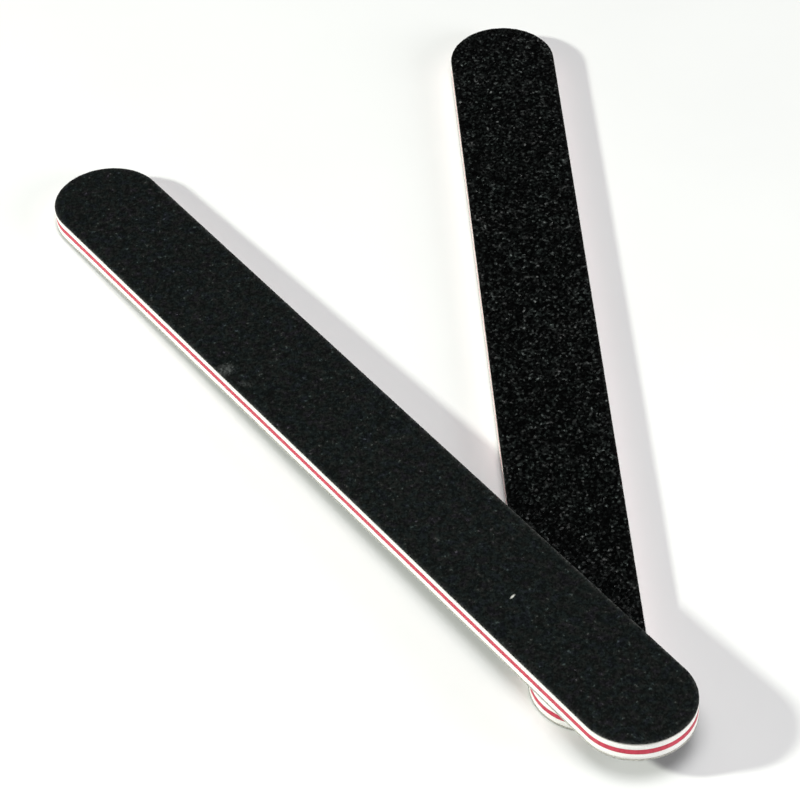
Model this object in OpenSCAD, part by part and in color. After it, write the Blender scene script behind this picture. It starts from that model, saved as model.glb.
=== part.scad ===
// A pair of cushioned emery boards, fanned in a narrow V with one leaning on the other.
// Each board is a die-cut laminate: grit, paper, foam and a stiff core, glued into one flat stick.
// Millimetres, +Z up. The origin is the centre of the lower board's underside, and +Y runs along
// that board, away from the crossing.

/* [Board outline] */
// Length of one board, tip to tip
board_l = 178; // [150:1:200]
// Width of one board, and so the diameter of its round ends
board_w = 20; // [15:0.5:25]

/* [Layers] */
// Depth of the coarse grit coat, about one coarse grain
coarse_grit_t = 0.15; // [0.12:0.01:0.3]
// Depth of the fine grit coat, about one fine grain
fine_grit_t = 0.08; // [0.06:0.01:0.2]
// Thickness of the backing paper under each grit coat
paper_t = 0.2; // [0.1:0.01:0.4]
// Thickness of each glue film
glue_t = 0.05; // [0.03:0.01:0.1]
// Thickness of the foam cushion on each side of the core
foam_t = 1.15; // [0.6:0.05:2]
// Thickness of the stiff plastic core
core_t = 0.9; // [0.5:0.05:2]

/* [Die-cut edge] */
// How far the middle of a foam edge swells past its two glued faces
foam_swell = 0.1; // [0.02:0.01:0.3]
// How far the cut edge of the core stands back from the outline
core_setback = 0.05; // [0.01:0.01:0.2]
// How far the glue films stop short of the outline
glue_setback = 0.16; // [0.05:0.01:0.4]
// Radius that the die rolls onto the rim of the coarse grit coat
coarse_rim_r = 0.1; // [0.02:0.01:0.12]
// Radius that the die rolls onto the rim of the fine grit coat
fine_rim_r = 0.05; // [0.02:0.01:0.06]

/* [Fan] */
// Angle between the two boards, seen from above
fan_angle = 31.7; // [25:0.1:60]
// From the lower board's near tip to the crossing of the two centre lines
lower_cross = 8.3; // [4:0.1:40]
// From the upper board's near tip to the same crossing
upper_cross = 21.6; // [8:0.1:60]
// Clearance between the boards where the upper one leans on the lower one's edge
seat_gap = 0.1; // [0.05:0.01:0.3]

/* [Hidden] */
$fn = 96;

// Outline of a board: straight sides between two half circles
end_r = board_w / 2;
straight_l = board_l - board_w;

// Height of each layer's lower face in its own board, which lies with its coarse side down
coarse_paper_z = coarse_grit_t;
coarse_paper_glue_z = coarse_paper_z + paper_t;
coarse_foam_z = coarse_paper_glue_z + glue_t;
coarse_core_glue_z = coarse_foam_z + foam_t;
core_z = coarse_core_glue_z + glue_t;
fine_core_glue_z = core_z + core_t;
fine_foam_z = fine_core_glue_z + glue_t;
fine_paper_glue_z = fine_foam_z + foam_t;
fine_paper_z = fine_paper_glue_z + glue_t;
fine_grit_z = fine_paper_z + paper_t;
board_t = fine_grit_z + fine_grit_t;

// Where the centre lines cross, and how far the upper board's far tip lies from there
cross_y = lower_cross - board_l / 2;
far_run = board_l - upper_cross;
// The flat faces first meet inside the V, at this distance from the crossing along either board
seat_run = (end_r - coarse_rim_r) / tan(fan_angle / 2);
// The far tip lies on the ground, so the board climbs its own thickness on the way to the seat
lean = atan((board_t + seat_gap) / (far_run - seat_run));

// Half sections, drawn outwards from the board's centre plane, with the lower face on zero

// A straight die cut that stands back from the outline
module cut_section(t, setback) {
    square([end_r - setback, t]);
}

// A foam edge: squeezed at its two glued faces, and swelling to the outline in one arc between them
module foam_section() {
    half_t = foam_t / 2;
    arc_r = (half_t * half_t + foam_swell * foam_swell) / (2 * foam_swell);
    square([end_r - foam_swell, foam_t]);
    intersection() {
        translate([end_r - arc_r, half_t]) circle(arc_r);
        translate([end_r - 2 * foam_swell, 0]) square([2 * foam_swell, foam_t]);
    }
}

// A grit coat with the upper corner of its rim rolled over by the die
module coat_section(t, rim_r) {
    r = min(rim_r, t);
    square([end_r - r, t]);
    square([end_r, t - r]);
    translate([end_r - r, t - r])
        intersection() {
            circle(r);
            square(r);
        }
}

// Carries a half section once round the outline: a prism between two half turns
module round_the_outline() {
    rotate([90, 0, 0])
        linear_extrude(straight_l, center = true) {
            children();
            mirror([1, 0]) children();
        }
    for (end = [0, 180])
        rotate([0, 0, end])
            translate([0, straight_l / 2, 0])
                rotate_extrude(angle = 180) children();
}

// The layers of one board, from the coarse side up

module coarse_grit() {
    color("#0d0e0e")
        translate([0, 0, coarse_grit_t])
            mirror([0, 0, 1])
                round_the_outline() coat_section(coarse_grit_t, coarse_rim_r);
}

module coarse_paper() {
    backing_paper(coarse_paper_z);
}

module coarse_paper_glue() {
    glue_film(coarse_paper_glue_z);
}

module coarse_foam() {
    foam_cushion(coarse_foam_z);
}

module coarse_core_glue() {
    glue_film(coarse_core_glue_z);
}

module core() {
    color("#c8304a")
        translate([0, 0, core_z])
            round_the_outline() cut_section(core_t, core_setback);
}

module fine_core_glue() {
    glue_film(fine_core_glue_z);
}

module fine_foam() {
    foam_cushion(fine_foam_z);
}

module fine_paper_glue() {
    glue_film(fine_paper_glue_z);
}

module fine_paper() {
    backing_paper(fine_paper_z);
}

module fine_grit() {
    color("#1c2122")
        translate([0, 0, fine_grit_z])
            round_the_outline() coat_section(fine_grit_t, fine_rim_r);
}

module backing_paper(z) {
    color("#b9b5aa")
        translate([0, 0, z])
            round_the_outline() cut_section(paper_t, 0);
}

module glue_film(z) {
    color("#e6dcc2")
        translate([0, 0, z])
            round_the_outline() cut_section(glue_t, glue_setback);
}

module foam_cushion(z) {
    color("#f5f3ee")
        translate([0, 0, z])
            round_the_outline() foam_section();
}

// Where the boards lie

// The lower board lies flat with its coarse side up
module lower_place() {
    translate([0, 0, board_t]) rotate([0, 180, 0]) children();
}

// The upper board lies coarse side down, swung round the crossing and tipped up about its far tip
module upper_place() {
    translate([0, cross_y, 0])
        rotate([0, 0, fan_angle])
            translate([0, far_run, 0])
                rotate([-lean, 0, 0])
                    translate([0, -board_l / 2, 0])
                        children();
}

lower_place() fine_grit();  // lower_fine_grit
lower_place() fine_paper();  // lower_fine_paper
lower_place() fine_paper_glue();  // lower_fine_paper_glue
lower_place() fine_foam();  // lower_fine_foam
lower_place() fine_core_glue();  // lower_fine_core_glue
lower_place() core();  // lower_core
lower_place() coarse_core_glue();  // lower_coarse_core_glue
lower_place() coarse_foam();  // lower_coarse_foam
lower_place() coarse_paper_glue();  // lower_coarse_paper_glue
lower_place() coarse_paper();  // lower_coarse_paper
lower_place() coarse_grit();  // lower_coarse_grit
upper_place() coarse_grit();  // upper_coarse_grit
upper_place() coarse_paper();  // upper_coarse_paper
upper_place() coarse_paper_glue();  // upper_coarse_paper_glue
upper_place() coarse_foam();  // upper_coarse_foam
upper_place() coarse_core_glue();  // upper_coarse_core_glue
upper_place() core();  // upper_core
upper_place() fine_core_glue();  // upper_fine_core_glue
upper_place() fine_foam();  // upper_fine_foam
upper_place() fine_paper_glue();  // upper_fine_paper_glue
upper_place() fine_paper();  // upper_fine_paper
upper_place() fine_grit();  // upper_fine_grit
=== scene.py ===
import bpy
import numpy as np
from mathutils import Matrix, Vector


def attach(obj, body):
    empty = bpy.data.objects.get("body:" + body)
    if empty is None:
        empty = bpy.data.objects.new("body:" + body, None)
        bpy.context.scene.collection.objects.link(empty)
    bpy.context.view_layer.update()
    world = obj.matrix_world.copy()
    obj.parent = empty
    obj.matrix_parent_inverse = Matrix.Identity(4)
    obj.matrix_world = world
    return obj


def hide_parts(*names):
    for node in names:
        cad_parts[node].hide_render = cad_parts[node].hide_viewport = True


# A fanned pair of cushioned emery boards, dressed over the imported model, in metres

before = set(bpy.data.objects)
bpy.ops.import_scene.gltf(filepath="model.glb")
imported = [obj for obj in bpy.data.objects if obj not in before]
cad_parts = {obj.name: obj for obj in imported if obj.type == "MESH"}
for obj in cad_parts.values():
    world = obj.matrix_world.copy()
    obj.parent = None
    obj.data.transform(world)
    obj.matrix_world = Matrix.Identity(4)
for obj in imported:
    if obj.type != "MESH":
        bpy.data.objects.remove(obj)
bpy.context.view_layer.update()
mm = 0.001
hair = 0.012 * mm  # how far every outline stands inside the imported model's
uprightLimit = 0.02  # a face this square to the board's top counts as upright
print("frame loaded")


# Where each board lies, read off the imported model

def nodeTriangles(node):
    # Corner points of a CAD node's triangles, as a count by 3 by 3 array in metres
    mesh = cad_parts[node].data
    mesh.calc_loop_triangles()
    points = np.empty(len(mesh.vertices) * 3, np.float32)
    mesh.vertices.foreach_get("co", points)
    corners = np.empty(len(mesh.loop_triangles) * 3, np.int32)
    mesh.loop_triangles.foreach_get("vertices", corners)
    return points.reshape(-1, 3).astype(float)[corners].reshape(-1, 3, 3)


def boardPlace(board):
    # A board's own axes, off its core: up is square to the largest face, side is square to the
    # largest upright face, and along is square to both and points to the board's far tip
    triangles = nodeTriangles(f"{board}_core")
    normals = np.cross(triangles[:, 1] - triangles[:, 0], triangles[:, 2] - triangles[:, 0])
    areas = np.linalg.norm(normals, axis=1)
    up = normals[areas.argmax()] / areas.max()
    up *= np.sign(up[2])
    upright = np.abs(normals @ up) < uprightLimit * areas
    biggest = np.where(upright, areas, 0).argmax()
    side = normals[biggest] / areas[biggest]
    along = np.cross(up, side)
    along *= np.sign(along[1])
    side = np.cross(along, up)
    axes = np.array([side, along, up])
    spans = {}
    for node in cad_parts:
        if node.startswith(board):
            inAxes = nodeTriangles(node).reshape(-1, 3) @ axes.T
            spans[node[len(board) + 1:]] = (inAxes.min(0), inAxes.max(0))
    low = np.min([span[0] for span in spans.values()], axis=0)
    high = np.max([span[1] for span in spans.values()], axis=0)
    origin = np.array([(low[0] + high[0]) / 2, (low[1] + high[1]) / 2, low[2]])
    layers = {name: (span[0] - origin, span[1] - origin) for name, span in spans.items()}
    return {"board": board, "axes": axes, "origin": origin @ axes, "layers": layers}


def inRow(place, points):
    # Points in a board's own axes, moved to the row frame: origin plus each part along its axis
    return place["origin"] + points @ place["axes"]


places = {board: boardPlace(board) for board in ("lower", "upper")}
for place in places.values():
    print(place["board"], "origin", place["origin"].round(5), "along", place["axes"][1].round(4))


# Shapes: a half section carried once round a board's outline, and closed across the board

def boardStations(halfLength, halfWidth, step):
    # Stations along a board's outline, two half circles joined by straight sides, evenly spaced.
    # Rows run from the near tip to the far tip, and the ring goes up the right side and back down
    # the left. A station is a point on the spine and the direction out to the outline.
    spineEnd = halfLength - halfWidth
    arcCount = int(np.ceil(np.pi / 2 * halfWidth / step))
    straightCount = int(np.ceil(2 * spineEnd / step))
    nearArc = np.linspace(-np.pi / 2, 0, arcCount + 1)[:-1]
    farArc = np.linspace(0, np.pi / 2, arcCount + 1)
    straight = np.linspace(-spineEnd, spineEnd, straightCount + 1)[:-1]
    angle = np.concatenate([nearArc, np.zeros(straightCount), farArc])
    spine = np.concatenate([np.full(arcCount, -spineEnd), straight, np.full(arcCount + 1, spineEnd)])
    back = slice(-2, 0, -1)
    return {
        "rows": len(angle),
        "spine": np.concatenate([spine, spine[back]]),
        "outX": np.concatenate([np.cos(angle), -np.cos(angle[back])]),
        "outY": np.concatenate([np.sin(angle), np.sin(angle[back])]),
    }


def sweptPoints(stations, reach, height):
    # Carries a section round the ring: a point lies reach out from the spine, and height up.
    # Both are arrays of section points by stations, or by one where all stations are the same.
    reach = np.broadcast_to(reach, (len(reach), len(stations["spine"])))
    height = np.broadcast_to(height, reach.shape)
    return np.stack([reach * stations["outX"], stations["spine"] + reach * stations["outY"], height], 2)


def ringQuads(sections, ring):
    # Quads between neighbouring section points and neighbouring stations, closed round the ring
    first = np.arange(ring)
    second = (first + 1) % ring
    lower = np.arange(sections - 1)[:, None] * ring
    upper = lower + ring
    return np.stack([lower + first, lower + second, upper + second, upper + first], 2).reshape(-1, 4)


def crossTable(stations, firstPoint, insideStart, columns):
    # Vertex numbers across the board, one row of the table for each row of stations but the tips:
    # the left point of the ring, the inside points, and the right point of the ring
    rows, ring = stations["rows"], len(stations["spine"])
    row = np.arange(1, rows - 1)
    inside = insideStart + np.arange((rows - 2) * (columns - 1)).reshape(rows - 2, columns - 1)
    return np.column_stack([firstPoint + ring - row, inside, firstPoint + row])


def crossFaces(stations, firstPoint, insideStart, columns, up):
    # Faces over the table: quads between rows, and a fan of triangles at each tip
    table = crossTable(stations, firstPoint, insideStart, columns)
    corners = [table[:-1, :-1], table[:-1, 1:], table[1:, 1:], table[1:, :-1]]
    quads = np.stack(corners, 2).reshape(-1, 4)
    nearTip = np.full(columns, firstPoint)
    farTip = np.full(columns, firstPoint + stations["rows"] - 1)
    near = np.stack([nearTip, table[0, 1:], table[0, :-1]], 1)
    far = np.stack([table[-1, :-1], table[-1, 1:], farTip], 1)
    fans = np.concatenate([near, far])
    return (quads, fans) if up else (quads[:, ::-1], fans[:, ::-1])


def makePiece(name, points, quads, fans, smooth):
    # A mesh object from points, four-cornered faces and three-cornered faces
    mesh = bpy.data.meshes.new(name)
    mesh.vertices.add(len(points))
    mesh.vertices.foreach_set("co", points.astype(np.float32).ravel())
    corners = np.concatenate([quads.ravel(), fans.ravel()]).astype(np.int32)
    starts = np.concatenate([np.arange(len(quads)) * 4, len(quads) * 4 + np.arange(len(fans)) * 3])
    mesh.loops.add(len(corners))
    mesh.loops.foreach_set("vertex_index", corners)
    mesh.polygons.add(len(starts))
    mesh.polygons.foreach_set("loop_start", starts.astype(np.int32))
    mesh.polygons.foreach_set("use_smooth", np.full(len(starts), smooth))
    mesh.update(calc_edges=True)
    piece = bpy.data.objects.new(name, mesh)
    bpy.context.scene.collection.objects.link(piece)
    return piece


def dress(piece, place, layer, material):
    # Puts a finished piece on its board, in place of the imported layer
    piece.data.materials.append(material)
    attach(piece, f"{place['board']}_board")
    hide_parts(f"{place['board']}_{layer}")


def layerSize(place, layer):
    # Half length, half width, underside and top of a layer. The outline stands in by a hair, so
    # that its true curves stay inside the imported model's short facets.
    low, high = place["layers"][layer]
    return high[1] - hair, high[0] - hair, low[2], high[2]


def seedFor(place, layer, look):
    # Each layer of each board draws its own random numbers, the same in every run
    return np.random.default_rng([look["seed"], len(place["board"] + layer), ord(place["board"][0])])


def roundTheRing(noise, passes):
    # Evens out noise along the ring: each pass takes the mean of a value and its two neighbours
    for _ in range(passes):
        noise = (np.roll(noise, 1, -1) + noise + np.roll(noise, -1, -1)) / 3
    return noise


# Node materials

def newMaterial(name):
    material = bpy.data.materials.new(name)
    material.use_nodes = True
    nodes = material.node_tree.nodes
    links = material.node_tree.links
    shader = nodes["Principled BSDF"]
    coordinates = nodes.new("ShaderNodeTexCoord").outputs["Object"]
    return material, nodes, links, shader, coordinates


def noiseAt(nodes, links, vector, scale, detail=2.0, roughness=0.5):
    noise = nodes.new("ShaderNodeTexNoise")
    noise.inputs["Scale"].default_value = scale
    noise.inputs["Detail"].default_value = detail
    noise.inputs["Roughness"].default_value = roughness
    links.new(vector, noise.inputs["Vector"])
    return noise.outputs["Fac"]


def grainAt(nodes, links, vector, scale, output):
    grain = nodes.new("ShaderNodeTexVoronoi")
    grain.inputs["Scale"].default_value = scale
    links.new(vector, grain.inputs["Vector"])
    return grain.outputs[output]


def rampOf(nodes, links, value, stops):
    # A colour for each position on a ramp, blended in between
    ramp = nodes.new("ShaderNodeValToRGB")
    elements = ramp.color_ramp.elements
    while len(elements) < len(stops):
        elements.new(0.5)
    for element, (position, colour) in zip(elements, stops):
        element.position = position
        element.color = (*colour, 1)
    links.new(value, ramp.inputs["Fac"])
    return ramp.outputs["Color"]


def mixOf(nodes, links, factor, first, second, blend="MIX"):
    mix = nodes.new("ShaderNodeMix")
    mix.data_type = "RGBA"
    mix.blend_type = blend
    mix.clamp_factor = True
    for name, value in (("Factor", factor), ("A", first), ("B", second)):
        socket = mix.inputs[name]
        if isinstance(value, (int, float)):
            socket.default_value = value
        elif isinstance(value, tuple):
            socket.default_value = (*value, 1)
        else:
            links.new(value, socket)
    return mix.outputs["Result"]


def mathOf(nodes, links, operation, *values):
    maths = nodes.new("ShaderNodeMath")
    maths.operation = operation
    for socket, value in zip(maths.inputs, values):
        if isinstance(value, (int, float)):
            socket.default_value = value
        else:
            links.new(value, socket)
    return maths.outputs["Value"]


def bumpOf(nodes, links, height, strength, distance):
    bump = nodes.new("ShaderNodeBump")
    bump.inputs["Strength"].default_value = strength
    bump.inputs["Distance"].default_value = distance
    links.new(height, bump.inputs["Height"])
    return bump.outputs["Normal"]


def stretched(nodes, links, vector, scale):
    mapping = nodes.new("ShaderNodeMapping")
    mapping.inputs["Scale"].default_value = scale
    links.new(vector, mapping.inputs["Vector"])
    return mapping.outputs["Vector"]


def layPattern(nodes, links, shader, look, pattern):
    # Colour and bump both follow one pattern over the whole surface
    links.new(rampOf(nodes, links, pattern, look["shades"]), shader.inputs["Base Color"])
    links.new(bumpOf(nodes, links, pattern, look["bump"], look["bumpDepth"]), shader.inputs["Normal"])
    shader.inputs["Roughness"].default_value = look["roughness"]
    shader.inputs["Specular IOR Level"].default_value = look["specular"]


# Grit coats: a relief of grains over the face, a rolled rim, and a flat face against the paper

coarseCoatLook = {
    "slot": "coarse_grit",
    "acrossStep": 0.30 * mm,  # between the points of the relief
    "alongStep": 0.40 * mm,
    "depth": 0.125 * mm,  # the deepest that a point is sunk
    "shift": 0.38,  # the furthest that a point moves, as a share of its gap
    "rimDrop": 0.1 * mm,  # radius of the rolled rim
    "seed": 31,
    "grainSize": 0.38 * mm,
    "clumpSize": 0.7 * mm,
    "clumpPull": 1.6,  # how much a clump shifts the shade of its grains
    "shades": [
        (0.0, (0.0002, 0.0002, 0.0002)),
        (0.45, (0.0007, 0.0009, 0.0008)),
        (0.75, (0.0043, 0.0050, 0.0048)),
        (0.95, (0.0132, 0.0148, 0.0142)),
        # the two palest stops are painted glints: grains that seem to catch the lamps
        (1.15, (0.040, 0.043, 0.042)),
        (1.35, (0.150, 0.155, 0.152)),
    ],
    "tintSize": 2.5 * mm,
    "tints": ((1.02, 0.95, 0.98), (0.92, 1.02, 1.0)),  # colour casts that multiply the shades
    "roughness": (0.16, 0.42),  # of the most and the least polished grain
    "specular": 0.07,
    "rimShade": (0.030, 0.029, 0.027),
    "rimPaling": 0.5,  # how far the rim goes over to its own shade
}
fineCoatLook = {
    "slot": "fine_grit",
    "acrossStep": 0.22 * mm,
    "alongStep": 0.28 * mm,
    "depth": 0.045 * mm,
    "shift": 0.38,
    "rimDrop": 0.05 * mm,
    "seed": 57,
    "grainSize": 0.30 * mm,
    "clumpSize": 0.85 * mm,
    "clumpPull": 2.2,
    "shades": [
        (0.0, (0.0026, 0.0032, 0.0032)),
        (0.3, (0.0042, 0.0050, 0.0051)),
        (0.6, (0.0070, 0.0080, 0.0081)),
        (0.95, (0.0102, 0.0114, 0.0116)),
        (1.2, (0.0150, 0.0162, 0.0166)),
        # the palest stop is a painted glint: a grain that seems to catch the lamps
        (1.35, (0.046, 0.048, 0.050)),
    ],
    "tintSize": 2.0 * mm,
    "tints": ((1.07, 0.92, 1.12), (1.0, 0.98, 0.88), (0.82, 1.06, 0.98), (0.90, 0.97, 1.18)),
    "roughness": (0.45, 0.80),
    "specular": 0.06,
    "rimShade": (0.11, 0.11, 0.108),
    "rimPaling": 0.75,
}
bothCoatsLook = {
    "shadeRange": 1.5,  # a grain's own shade and its clump's together stay under this
    "tintRange": (0.32, 0.68),  # the part of the noise that the tints share out
    "grainStretch": 0.75,  # grains are a little longer than wide, along the board
    "rimReach": 0.22 * mm,  # how far the paler rim fades over the face
    "nibble": 0.6,  # how deep the die bites into the rim, as a share of the grains' depth
    "sink": 1.4,  # over 1, more of the grains stand high than lie deep
    "grooves": 1.6,  # grooves of the bump to one grain
    "bump": 0.35,
    "bumpDepth": 0.03 * mm,
}
dustLook = {  # marks on the upper face, placed from the middle of the board
    "smudge": {
        "across": -8.6 * mm,
        "along": 26.2 * mm,
        "turn": -20.0,
        "length": 2.2 * mm,
        "width": 1.7 * mm,
        "strength": 1.0,
    },
    "trail": {
        "across": -7.9 * mm,
        "along": 20.9 * mm,
        "turn": -55.0,
        "length": 1.6 * mm,
        "width": 0.8 * mm,
        "strength": 0.5,
    },
    "fibre": {
        "across": -2.1 * mm,
        "along": -49.3 * mm,
        "turn": 16.0,
        "length": 0.75 * mm,
        "width": 0.25 * mm,
        "strength": 1.0,
    },
    "dust": (0.075, 0.082, 0.080),
    "lint": (0.62, 0.62, 0.58),
    "ragScale": 1800,
    "rag": 1.6,  # how ragged an outline is
    "even": 0.5,  # the noise's middle value, which leaves an outline as it is
    "solid": 0.35,  # the share of a mark's radius that doesn't fade
}


def gritCoat(place, layer, look, faceUp):
    # The face is a net of points in rows across the board, each shifted sideways by a share of
    # the gap to its neighbours and sunk by the depth times a random number to a power, so a facet
    # is one side of a grain. The rim falls away in a quarter round, the wall drops straight, and
    # the coat is closed by a flat face. It is made face up, and turned over about the board's
    # length where the face looks down.
    halfLength, halfWidth, low, high = layerSize(place, layer)
    thickness = high - low
    random = seedFor(place, layer, look)
    stations = boardStations(halfLength, halfWidth, look["alongStep"])
    rows, ring = stations["rows"], len(stations["spine"])
    drop = look["rimDrop"]
    turn = np.array([0, np.pi / 4, np.pi / 2])
    reach = np.concatenate([[halfWidth], halfWidth - drop + drop * np.cos(turn)])[:, None]
    height = np.concatenate([[0], thickness - drop + drop * np.sin(turn)])[:, None]
    reach = np.repeat(reach, ring, 1)
    height = np.repeat(height, ring, 1)
    nibble = random.random((2, ring)) * look["depth"] * bothCoatsLook["nibble"]
    reach[1:] -= nibble[0]
    reach[0] -= nibble[0] / 2
    height[-1] -= nibble[1]
    height[-2] -= nibble[1] / 2
    walls = sweptPoints(stations, reach, height)
    columns = int(round(2 * halfWidth / look["acrossStep"]))
    across = np.arange(1, columns) / columns * 2 - 1
    edge = walls[-1]
    right = edge[1:rows - 1]
    left = edge[ring - np.arange(1, rows - 1)]
    middle, half = (left + right) / 2, (right - left) / 2
    inside = middle[:, None, :] + across[None, :, None] * half[:, None, :]
    gap = np.stack([half[:, 0] * 2 / columns, np.gradient(right[:, 1])], 1)
    sideways = random.random(inside[:, :, :2].shape) * 2 - 1
    inside[:, :, :2] += sideways * look["shift"] * gap[:, None, :]
    inside[:, :, 2] = thickness - random.random(inside.shape[:2]) ** bothCoatsLook["sink"] * look["depth"]
    points = np.concatenate([walls.reshape(-1, 3), inside.reshape(-1, 3)])
    top = (len(reach) - 1) * ring
    quads, fans = crossFaces(stations, top, len(walls) * ring, columns, True)
    underQuads, underFans = crossFaces(stations, 0, len(points), 1, False)
    quads = np.concatenate([ringQuads(len(reach), ring), quads, underQuads])
    toSpine = np.maximum(np.abs(points[:, 1]) - (halfLength - halfWidth), 0)
    toEdge = halfWidth - np.hypot(points[:, 0], toSpine)
    if not faceUp:
        points = points * [-1, 1, -1]
    points[:, 2] += low if faceUp else high
    coat = makePiece(f"{place['board']}_{layer}_coat", inRow(place, points), quads,
                     np.concatenate([fans, underFans]), False)
    paling = np.exp(-np.maximum(toEdge, 0) / bothCoatsLook["rimReach"])
    rim = coat.data.attributes.new("rim", "FLOAT", "POINT")
    rim.data.foreach_set("value", paling.astype(np.float32))
    return coat


def boardCoordinates(nodes, links, where, place):
    # Object coordinates turned to a board's own axes: across, along and up from the middle of
    # its underside
    mapping = nodes.new("ShaderNodeMapping")
    mapping.vector_type = "TEXTURE"
    mapping.inputs["Location"].default_value = place["origin"]
    mapping.inputs["Rotation"].default_value = Matrix(place["axes"].T.tolist()).to_euler()
    links.new(where, mapping.inputs["Vector"])
    return mapping.outputs["Vector"]


def markAt(nodes, links, onBoard, mark, ragged):
    # 1 in the middle of an oval mark and 0 past its outline, which a noise makes ragged
    mapping = nodes.new("ShaderNodeMapping")
    mapping.vector_type = "TEXTURE"
    mapping.inputs["Location"].default_value = (mark["across"], mark["along"], 0)
    mapping.inputs["Rotation"].default_value = (0, 0, np.radians(mark["turn"]))
    mapping.inputs["Scale"].default_value = (mark["length"], mark["width"], 1)
    links.new(onBoard, mapping.inputs["Vector"])
    distance = nodes.new("ShaderNodeVectorMath")
    distance.operation = "LENGTH"
    links.new(mapping.outputs["Vector"], distance.inputs[0])
    rough = mathOf(nodes, links, "MULTIPLY_ADD", ragged, dustLook["rag"], -dustLook["rag"] / 2)
    worn = mathOf(nodes, links, "ADD", distance.outputs["Value"], rough)
    fade = nodes.new("ShaderNodeMapRange")
    fade.inputs["From Min"].default_value = dustLook["solid"]
    fade.inputs["From Max"].default_value = 1.0
    fade.inputs["To Min"].default_value = mark["strength"]
    fade.inputs["To Max"].default_value = 0.0
    links.new(worn, fade.inputs["Value"])
    return fade.outputs["Result"]


def gritMaterial(name, look, dustyPlace=None):
    # Each grain, a cell of a Voronoi pattern, has its own shade and its own polish. A broader noise gathers
    # pale and dark grains into clumps, and grains near the cut rim go paler grey.
    material, nodes, links, shader, where = newMaterial(name)
    separate = nodes.new("ShaderNodeSeparateColor")
    standing = stretched(nodes, links, where, (1, bothCoatsLook["grainStretch"], 1))
    links.new(grainAt(nodes, links, standing, 1 / look["grainSize"], "Color"), separate.inputs["Color"])
    clumps = noiseAt(nodes, links, where, 1 / look["clumpSize"])
    lean = mathOf(nodes, links, "MULTIPLY_ADD", clumps, look["clumpPull"], -look["clumpPull"] / 2)
    shadeRange = bothCoatsLook["shadeRange"]
    shade = mathOf(nodes, links, "ADD", separate.outputs["Red"], lean)
    shade = mathOf(nodes, links, "DIVIDE", shade, shadeRange)
    # The palest shades on this ramp are painted glints of grains, not lit ones
    stops = [(position / shadeRange, colour) for position, colour in look["shades"]]
    colour = rampOf(nodes, links, shade, stops)
    patches = noiseAt(nodes, links, where, 1 / look["tintSize"])
    bands = np.linspace(*bothCoatsLook["tintRange"], len(look["tints"])).tolist()
    tint = rampOf(nodes, links, patches, list(zip(bands, look["tints"])))
    colour = mixOf(nodes, links, 1.0, colour, tint, "MULTIPLY")
    if dustyPlace:
        onBoard = boardCoordinates(nodes, links, where, dustyPlace)
        ragged = noiseAt(nodes, links, where, dustLook["ragScale"], detail=4, roughness=0.65)
        for mark in ("smudge", "trail"):
            cover = markAt(nodes, links, onBoard, dustLook[mark], ragged)
            cover = mathOf(nodes, links, "MULTIPLY", cover, separate.outputs["Green"])
            colour = mixOf(nodes, links, cover, colour, dustLook["dust"])
        cover = markAt(nodes, links, onBoard, dustLook["fibre"], dustLook["even"])
        colour = mixOf(nodes, links, cover, colour, dustLook["lint"])
    rim = nodes.new("ShaderNodeAttribute")
    rim.attribute_name = "rim"
    paling = mathOf(nodes, links, "MULTIPLY", rim.outputs["Fac"], separate.outputs["Blue"])
    paling = mathOf(nodes, links, "MULTIPLY", paling, look["rimPaling"])
    links.new(mixOf(nodes, links, paling, colour, look["rimShade"]), shader.inputs["Base Color"])
    polish = nodes.new("ShaderNodeMapRange")
    polish.inputs["To Min"].default_value, polish.inputs["To Max"].default_value = look["roughness"]
    links.new(separate.outputs["Green"], polish.inputs["Value"])
    links.new(polish.outputs["Result"], shader.inputs["Roughness"])
    grooves = noiseAt(nodes, links, where, bothCoatsLook["grooves"] / look["grainSize"])
    bump = bumpOf(nodes, links, grooves, bothCoatsLook["bump"], bothCoatsLook["bumpDepth"])
    links.new(bump, shader.inputs["Normal"])
    shader.inputs["Specular IOR Level"].default_value = look["specular"]
    return material


coarseGrit = gritMaterial("coarse black grit", coarseCoatLook)
fineGrit = gritMaterial("fine charcoal grit", fineCoatLook)
dustyFineGrit = gritMaterial("fine charcoal grit with dust", fineCoatLook, places["upper"])
for board, coarseUp in (("lower", True), ("upper", False)):
    place = places[board]
    coat = gritCoat(place, "coarse_grit", coarseCoatLook, coarseUp)
    dress(coat, place, "coarse_grit", coarseGrit)
    coat = gritCoat(place, "fine_grit", fineCoatLook, not coarseUp)
    dress(coat, place, "fine_grit", fineGrit if coarseUp else dustyFineGrit)
print("grit coats made")


# Backing papers, foam cushions and core: cut layers whose edges show round the board

paperLook = {
    "slot": "backing_paper",
    "step": 0.3 * mm,
    "sections": 4,
    "fuzz": 0.012 * mm,  # how far the cut edge is torn back
    "seed": 5,
    "shades": [(0.35, (0.30, 0.29, 0.265)), (0.65, (0.54, 0.53, 0.49))],  # stock, fibres
    "fibreScale": 3500,
    "fibreSquash": 5,  # fibres lie flat: this much thinner than long
    "bump": 0.6,
    "bumpDepth": 0.02 * mm,
    "roughness": 0.85,
    "specular": 0.2,
}
foamLook = {
    "slot": "foam",
    "step": 0.16 * mm,
    "sections": 11,
    "swell": 0.1 * mm,  # how far the middle of the edge stands out past the glued faces
    "pores": 0.025 * mm,  # the deepest open pore
    "seed": 8,
    "shades": [(0.1, (0.74, 0.73, 0.70)), (0.5, (0.90, 0.89, 0.865))],  # painted shade in the pores, foam
    "cellScale": 7000,
    "bump": 0.5,
    "bumpDepth": 0.03 * mm,
    "roughness": 0.8,
    "specular": 0.25,
}
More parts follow.
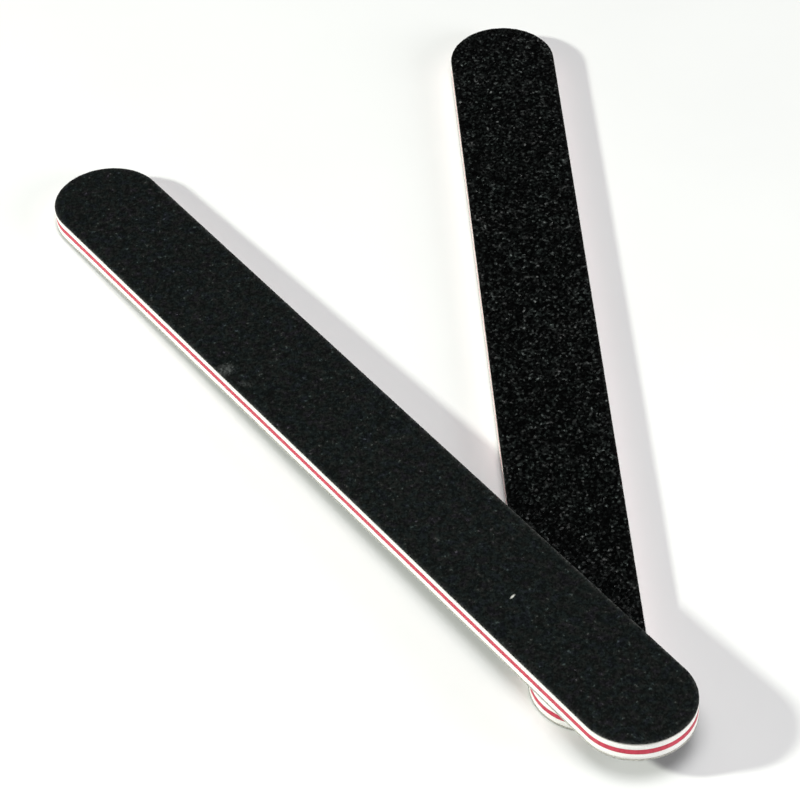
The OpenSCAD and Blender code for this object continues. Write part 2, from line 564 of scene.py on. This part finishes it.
coreLook = {
    "slot": "core",
    "step": 0.2 * mm,
    "sections": 8,
    "drag": 0.012 * mm,  # depth of the lines that the die leaves
    "chatter": 0.15,  # how much the drag changes up the edge, as a share of its change along it
    "seed": 13,
    "shades": [(0.3, (0.42, 0.024, 0.048)), (0.55, (0.56, 0.040, 0.078))],  # painted shade in the sunken streaks, plastic
    "streakScale": 2600,
    "streakSquash": 0.08,  # streaks stand upright: their width as a share of their length
    "bump": 0.4,
    "bumpDepth": 0.02 * mm,
    "roughness": 0.4,
    "specular": 0.25,
}
glueLook = {
    "slot": "glue_film",
    "shades": [(0.35, (0.72, 0.66, 0.52)), (0.65, (0.82, 0.78, 0.68))],
    "cloudScale": 900,
    "bump": 0.3,
    "bumpDepth": 0.02 * mm,
    "roughness": 0.4,
    "specular": 0.5,
}


def cutLayer(place, layer, look, edgeShape, smooth):
    # A flat layer with a detailed cut edge: edgeShape gives, for heights from 0 to 1 up the edge,
    # how far each point stands in from the layer's reach
    halfLength, halfWidth, low, high = layerSize(place, layer)
    stations = boardStations(halfLength, halfWidth, look["step"])
    ring, sections = len(stations["spine"]), look["sections"]
    share = np.linspace(0, 1, sections)[:, None]
    height = low + share * (high - low)
    reach = halfWidth - edgeShape(share, ring, seedFor(place, layer, look))
    walls = sweptPoints(stations, reach, height)
    points = walls.reshape(-1, 3)
    topQuads, topFans = crossFaces(stations, (sections - 1) * ring, len(points), 1, True)
    underQuads, underFans = crossFaces(stations, 0, len(points), 1, False)
    quads = np.concatenate([ringQuads(sections, ring), topQuads, underQuads])
    return makePiece(f"{place['board']}_{layer}_cut", inRow(place, points), quads,
                     np.concatenate([topFans, underFans]), smooth)


def paperEdge(share, ring, random):
    # Torn fibres: the fuzz times a noise that is averaged once with its neighbours along the edge
    return roundTheRing(random.random((len(share), ring)), 1) * paperLook["fuzz"]


def foamEdge(share, ring, random):
    # The swell times the square of the distance from mid height, which is 1 at the glued faces,
    # plus open pores: their depth times a cubed noise, averaged once along the edge
    bow = foamLook["swell"] * (2 * share - 1) ** 2
    pits = roundTheRing(random.random((len(share), ring)) ** 3, 1)
    return bow + pits * foamLook["pores"]


def coreEdge(share, ring, random):
    # Drag lines that the die leaves: the drag times the sum of a noise that is the same all the
    # way up, averaged twice along the edge, and a little of one that changes up the edge too
    lines = roundTheRing(random.random((1, ring)), 2)
    chatter = coreLook["chatter"] * roundTheRing(random.random((len(share), ring)), 1)
    return (lines + chatter) * coreLook["drag"]


def paperMaterial():
    # Pale grey paper stock with short whiter fibres
    material, nodes, links, shader, where = newMaterial("grey backing paper")
    flat = stretched(nodes, links, where, (1, 1, paperLook["fibreSquash"]))
    fibres = noiseAt(nodes, links, flat, paperLook["fibreScale"], detail=3, roughness=0.6)
    layPattern(nodes, links, shader, paperLook, fibres)
    return material


def foamMaterial():
    # White foam: round cells, with painted shade greying their hollows
    material, nodes, links, shader, where = newMaterial("white cushion foam")
    cells = grainAt(nodes, links, where, foamLook["cellScale"], "Distance")
    layPattern(nodes, links, shader, foamLook, cells)
    return material


def coreMaterial():
    # Red plastic, with painted shade darkening the upright streaks where they sink
    material, nodes, links, shader, where = newMaterial("red plastic core")
    upright = stretched(nodes, links, where, (1, 1, coreLook["streakSquash"]))
    streaks = noiseAt(nodes, links, upright, coreLook["streakScale"], detail=3, roughness=0.6)
    layPattern(nodes, links, shader, coreLook, streaks)
    return material


def glueMaterial():
    # Cured glue: cloudy ivory
    material, nodes, links, shader, where = newMaterial("clouded glue film")
    clouds = noiseAt(nodes, links, where, glueLook["cloudScale"], detail=3)
    layPattern(nodes, links, shader, glueLook, clouds)
    return material


greyPaper = paperMaterial()
whiteFoam = foamMaterial()
redCore = coreMaterial()
cloudedGlue = glueMaterial()
for place in places.values():
    for side in ("coarse", "fine"):
        paper = cutLayer(place, f"{side}_paper", paperLook, paperEdge, False)
        dress(paper, place, f"{side}_paper", greyPaper)
        foam = cutLayer(place, f"{side}_foam", foamLook, foamEdge, True)
        dress(foam, place, f"{side}_foam", whiteFoam)
        for face in ("paper", "core"):
            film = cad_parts[f"{place['board']}_{side}_{face}_glue"]
            film.data.materials.clear()
            film.data.materials.append(cloudedGlue)
    core = cutLayer(place, "core", coreLook, coreEdge, True)
    dress(core, place, "core", redCore)
print("cut layers made")


# Floor, light and camera

stageLook = {
    "floorSize": 6.0,
    "floorShades": [(0.3, (0.88, 0.88, 0.88)), (0.7, (0.90, 0.90, 0.90))],
    "mottleScale": 25,
    "floorRoughness": 0.9,
    "skyPale": (0.66, 0.66, 0.66),
    "skyDim": (0.07, 0.07, 0.075),
    "skyBehind": (0.20, 0.20, 0.20),
    "skyFadeLow": 0.15,  # the upward part of a direction at which the pale band starts to fade
    "skyFadeHigh": 0.40,  # and at which it has faded
    "skyTurn": 0.35,  # the part of a direction along +Y at which the band is at its greyest
    "overheadSize": 0.9,
    "overheadPlace": (0.032, -0.30, 1.5),
    "overheadPower": 12.9,
    "sideSize": 0.10,
    "sideDistance": 1.1,
    "sideElevation": 31.0,  # degrees, as are all the angles here
    "sideAzimuth": 10.0,
    "sidePower": 10.4,
    "sideColour": (0.955, 1.0, 0.905),
    "fillSize": 0.35,
    "fillPlace": (0.70, -0.35, 0.30),
    "fillPower": 2.6,
}
cameraLook = {
    "target": (-26.19 * mm, -9.67 * mm, 0.0),
    "azimuth": -2.457,
    "elevation": 44.27,
    "roll": -2.125,
    "distance": 607.5 * mm,
    "lens": 154.63,
    "sensor": 36,
    "clipStart": 10 * mm,
}


def makeFloor():
    half = stageLook["floorSize"] / 2
    mesh = bpy.data.meshes.new("floor")
    corners = [(-half, -half, 0), (half, -half, 0), (half, half, 0), (-half, half, 0)]
    mesh.from_pydata(corners, [], [(0, 1, 2, 3)])
    floor = bpy.data.objects.new("floor", mesh)
    bpy.context.scene.collection.objects.link(floor)
    material, nodes, links, shader, where = newMaterial("white tabletop")
    mottle = noiseAt(nodes, links, where, stageLook["mottleScale"], detail=3)
    links.new(rampOf(nodes, links, mottle, stageLook["floorShades"]), shader.inputs["Base Color"])
    shader.inputs["Roughness"].default_value = stageLook["floorRoughness"]
    shader.inputs["Specular IOR Level"].default_value = 0.0
    mesh.materials.append(material)


def makeSky():
    # Pale at the horizon and dim above it, by the height of the direction, and greyer behind the
    # boards, so that little of it glances off the grit
    world = bpy.data.worlds.new("studio")
    world.use_nodes = True
    nodes, links = world.node_tree.nodes, world.node_tree.links
    direction = nodes.new("ShaderNodeTexCoord").outputs["Generated"]
    split = nodes.new("ShaderNodeSeparateXYZ")
    links.new(direction, split.inputs["Vector"])
    turnStops = [(0.0, stageLook["skyPale"]), (stageLook["skyTurn"], stageLook["skyBehind"])]
    horizon = rampOf(nodes, links, split.outputs["Y"], turnStops)
    riseStops = [(stageLook["skyFadeLow"], (0, 0, 0)), (stageLook["skyFadeHigh"], (1, 1, 1))]
    rise = rampOf(nodes, links, split.outputs["Z"], riseStops)
    sky = mixOf(nodes, links, rise, horizon, stageLook["skyDim"])
    links.new(sky, nodes["Background"].inputs["Color"])
    bpy.context.scene.world = world


def softbox(name, size, power, position, lookAt, colour=(1, 1, 1)):
    light = bpy.data.lights.new(name, "AREA")
    light.shape = "DISK"
    light.size = size
    light.energy = power
    light.color = colour
    lamp = bpy.data.objects.new(name, light)
    lamp.location = position
    lamp.rotation_euler = (Vector(position) - Vector(lookAt)).to_track_quat("Z", "Y").to_euler()
    bpy.context.scene.collection.objects.link(lamp)


def makeCamera():
    # Looks at the target from an azimuth and an elevation, and is rolled about its own line of sight
    azimuth = np.radians(cameraLook["azimuth"])
    elevation = np.radians(cameraLook["elevation"])
    level = np.cos(elevation)
    back = Vector((np.sin(azimuth) * level, -np.cos(azimuth) * level, np.sin(elevation)))
    right = Vector((np.cos(azimuth), np.sin(azimuth), 0))
    up = back.cross(right)
    turned = Matrix((right, up, back)).transposed().to_4x4()
    camera = bpy.data.objects.new("camera", bpy.data.cameras.new("camera"))
    camera.data.lens = cameraLook["lens"]
    camera.data.sensor_width = cameraLook["sensor"]
    camera.data.clip_start = cameraLook["clipStart"]
    stand = Matrix.Translation(Vector(cameraLook["target"]) + back * cameraLook["distance"])
    roll = Matrix.Rotation(np.radians(cameraLook["roll"]), 4, "Z")
    camera.matrix_world = stand @ turned @ roll
    bpy.context.scene.collection.objects.link(camera)
    bpy.context.scene.camera = camera


makeFloor()
makeSky()
centre = Vector(cameraLook["target"])
softbox("overhead softbox", stageLook["overheadSize"], stageLook["overheadPower"],
        centre + Vector(stageLook["overheadPlace"]), centre)
sideAzimuth = np.radians(stageLook["sideAzimuth"])
sideElevation = np.radians(stageLook["sideElevation"])
sideLevel = np.cos(sideElevation)
sideWay = Vector((-np.cos(sideAzimuth) * sideLevel, -np.sin(sideAzimuth) * sideLevel, np.sin(sideElevation)))
softbox("side lamp", stageLook["sideSize"], stageLook["sidePower"],
        centre + sideWay * stageLook["sideDistance"], centre, stageLook["sideColour"])
softbox("right fill", stageLook["fillSize"], stageLook["fillPower"],
        centre + Vector(stageLook["fillPlace"]), centre)
makeCamera()
bpy.context.scene.view_settings.view_transform = "Standard"
print("stage set")
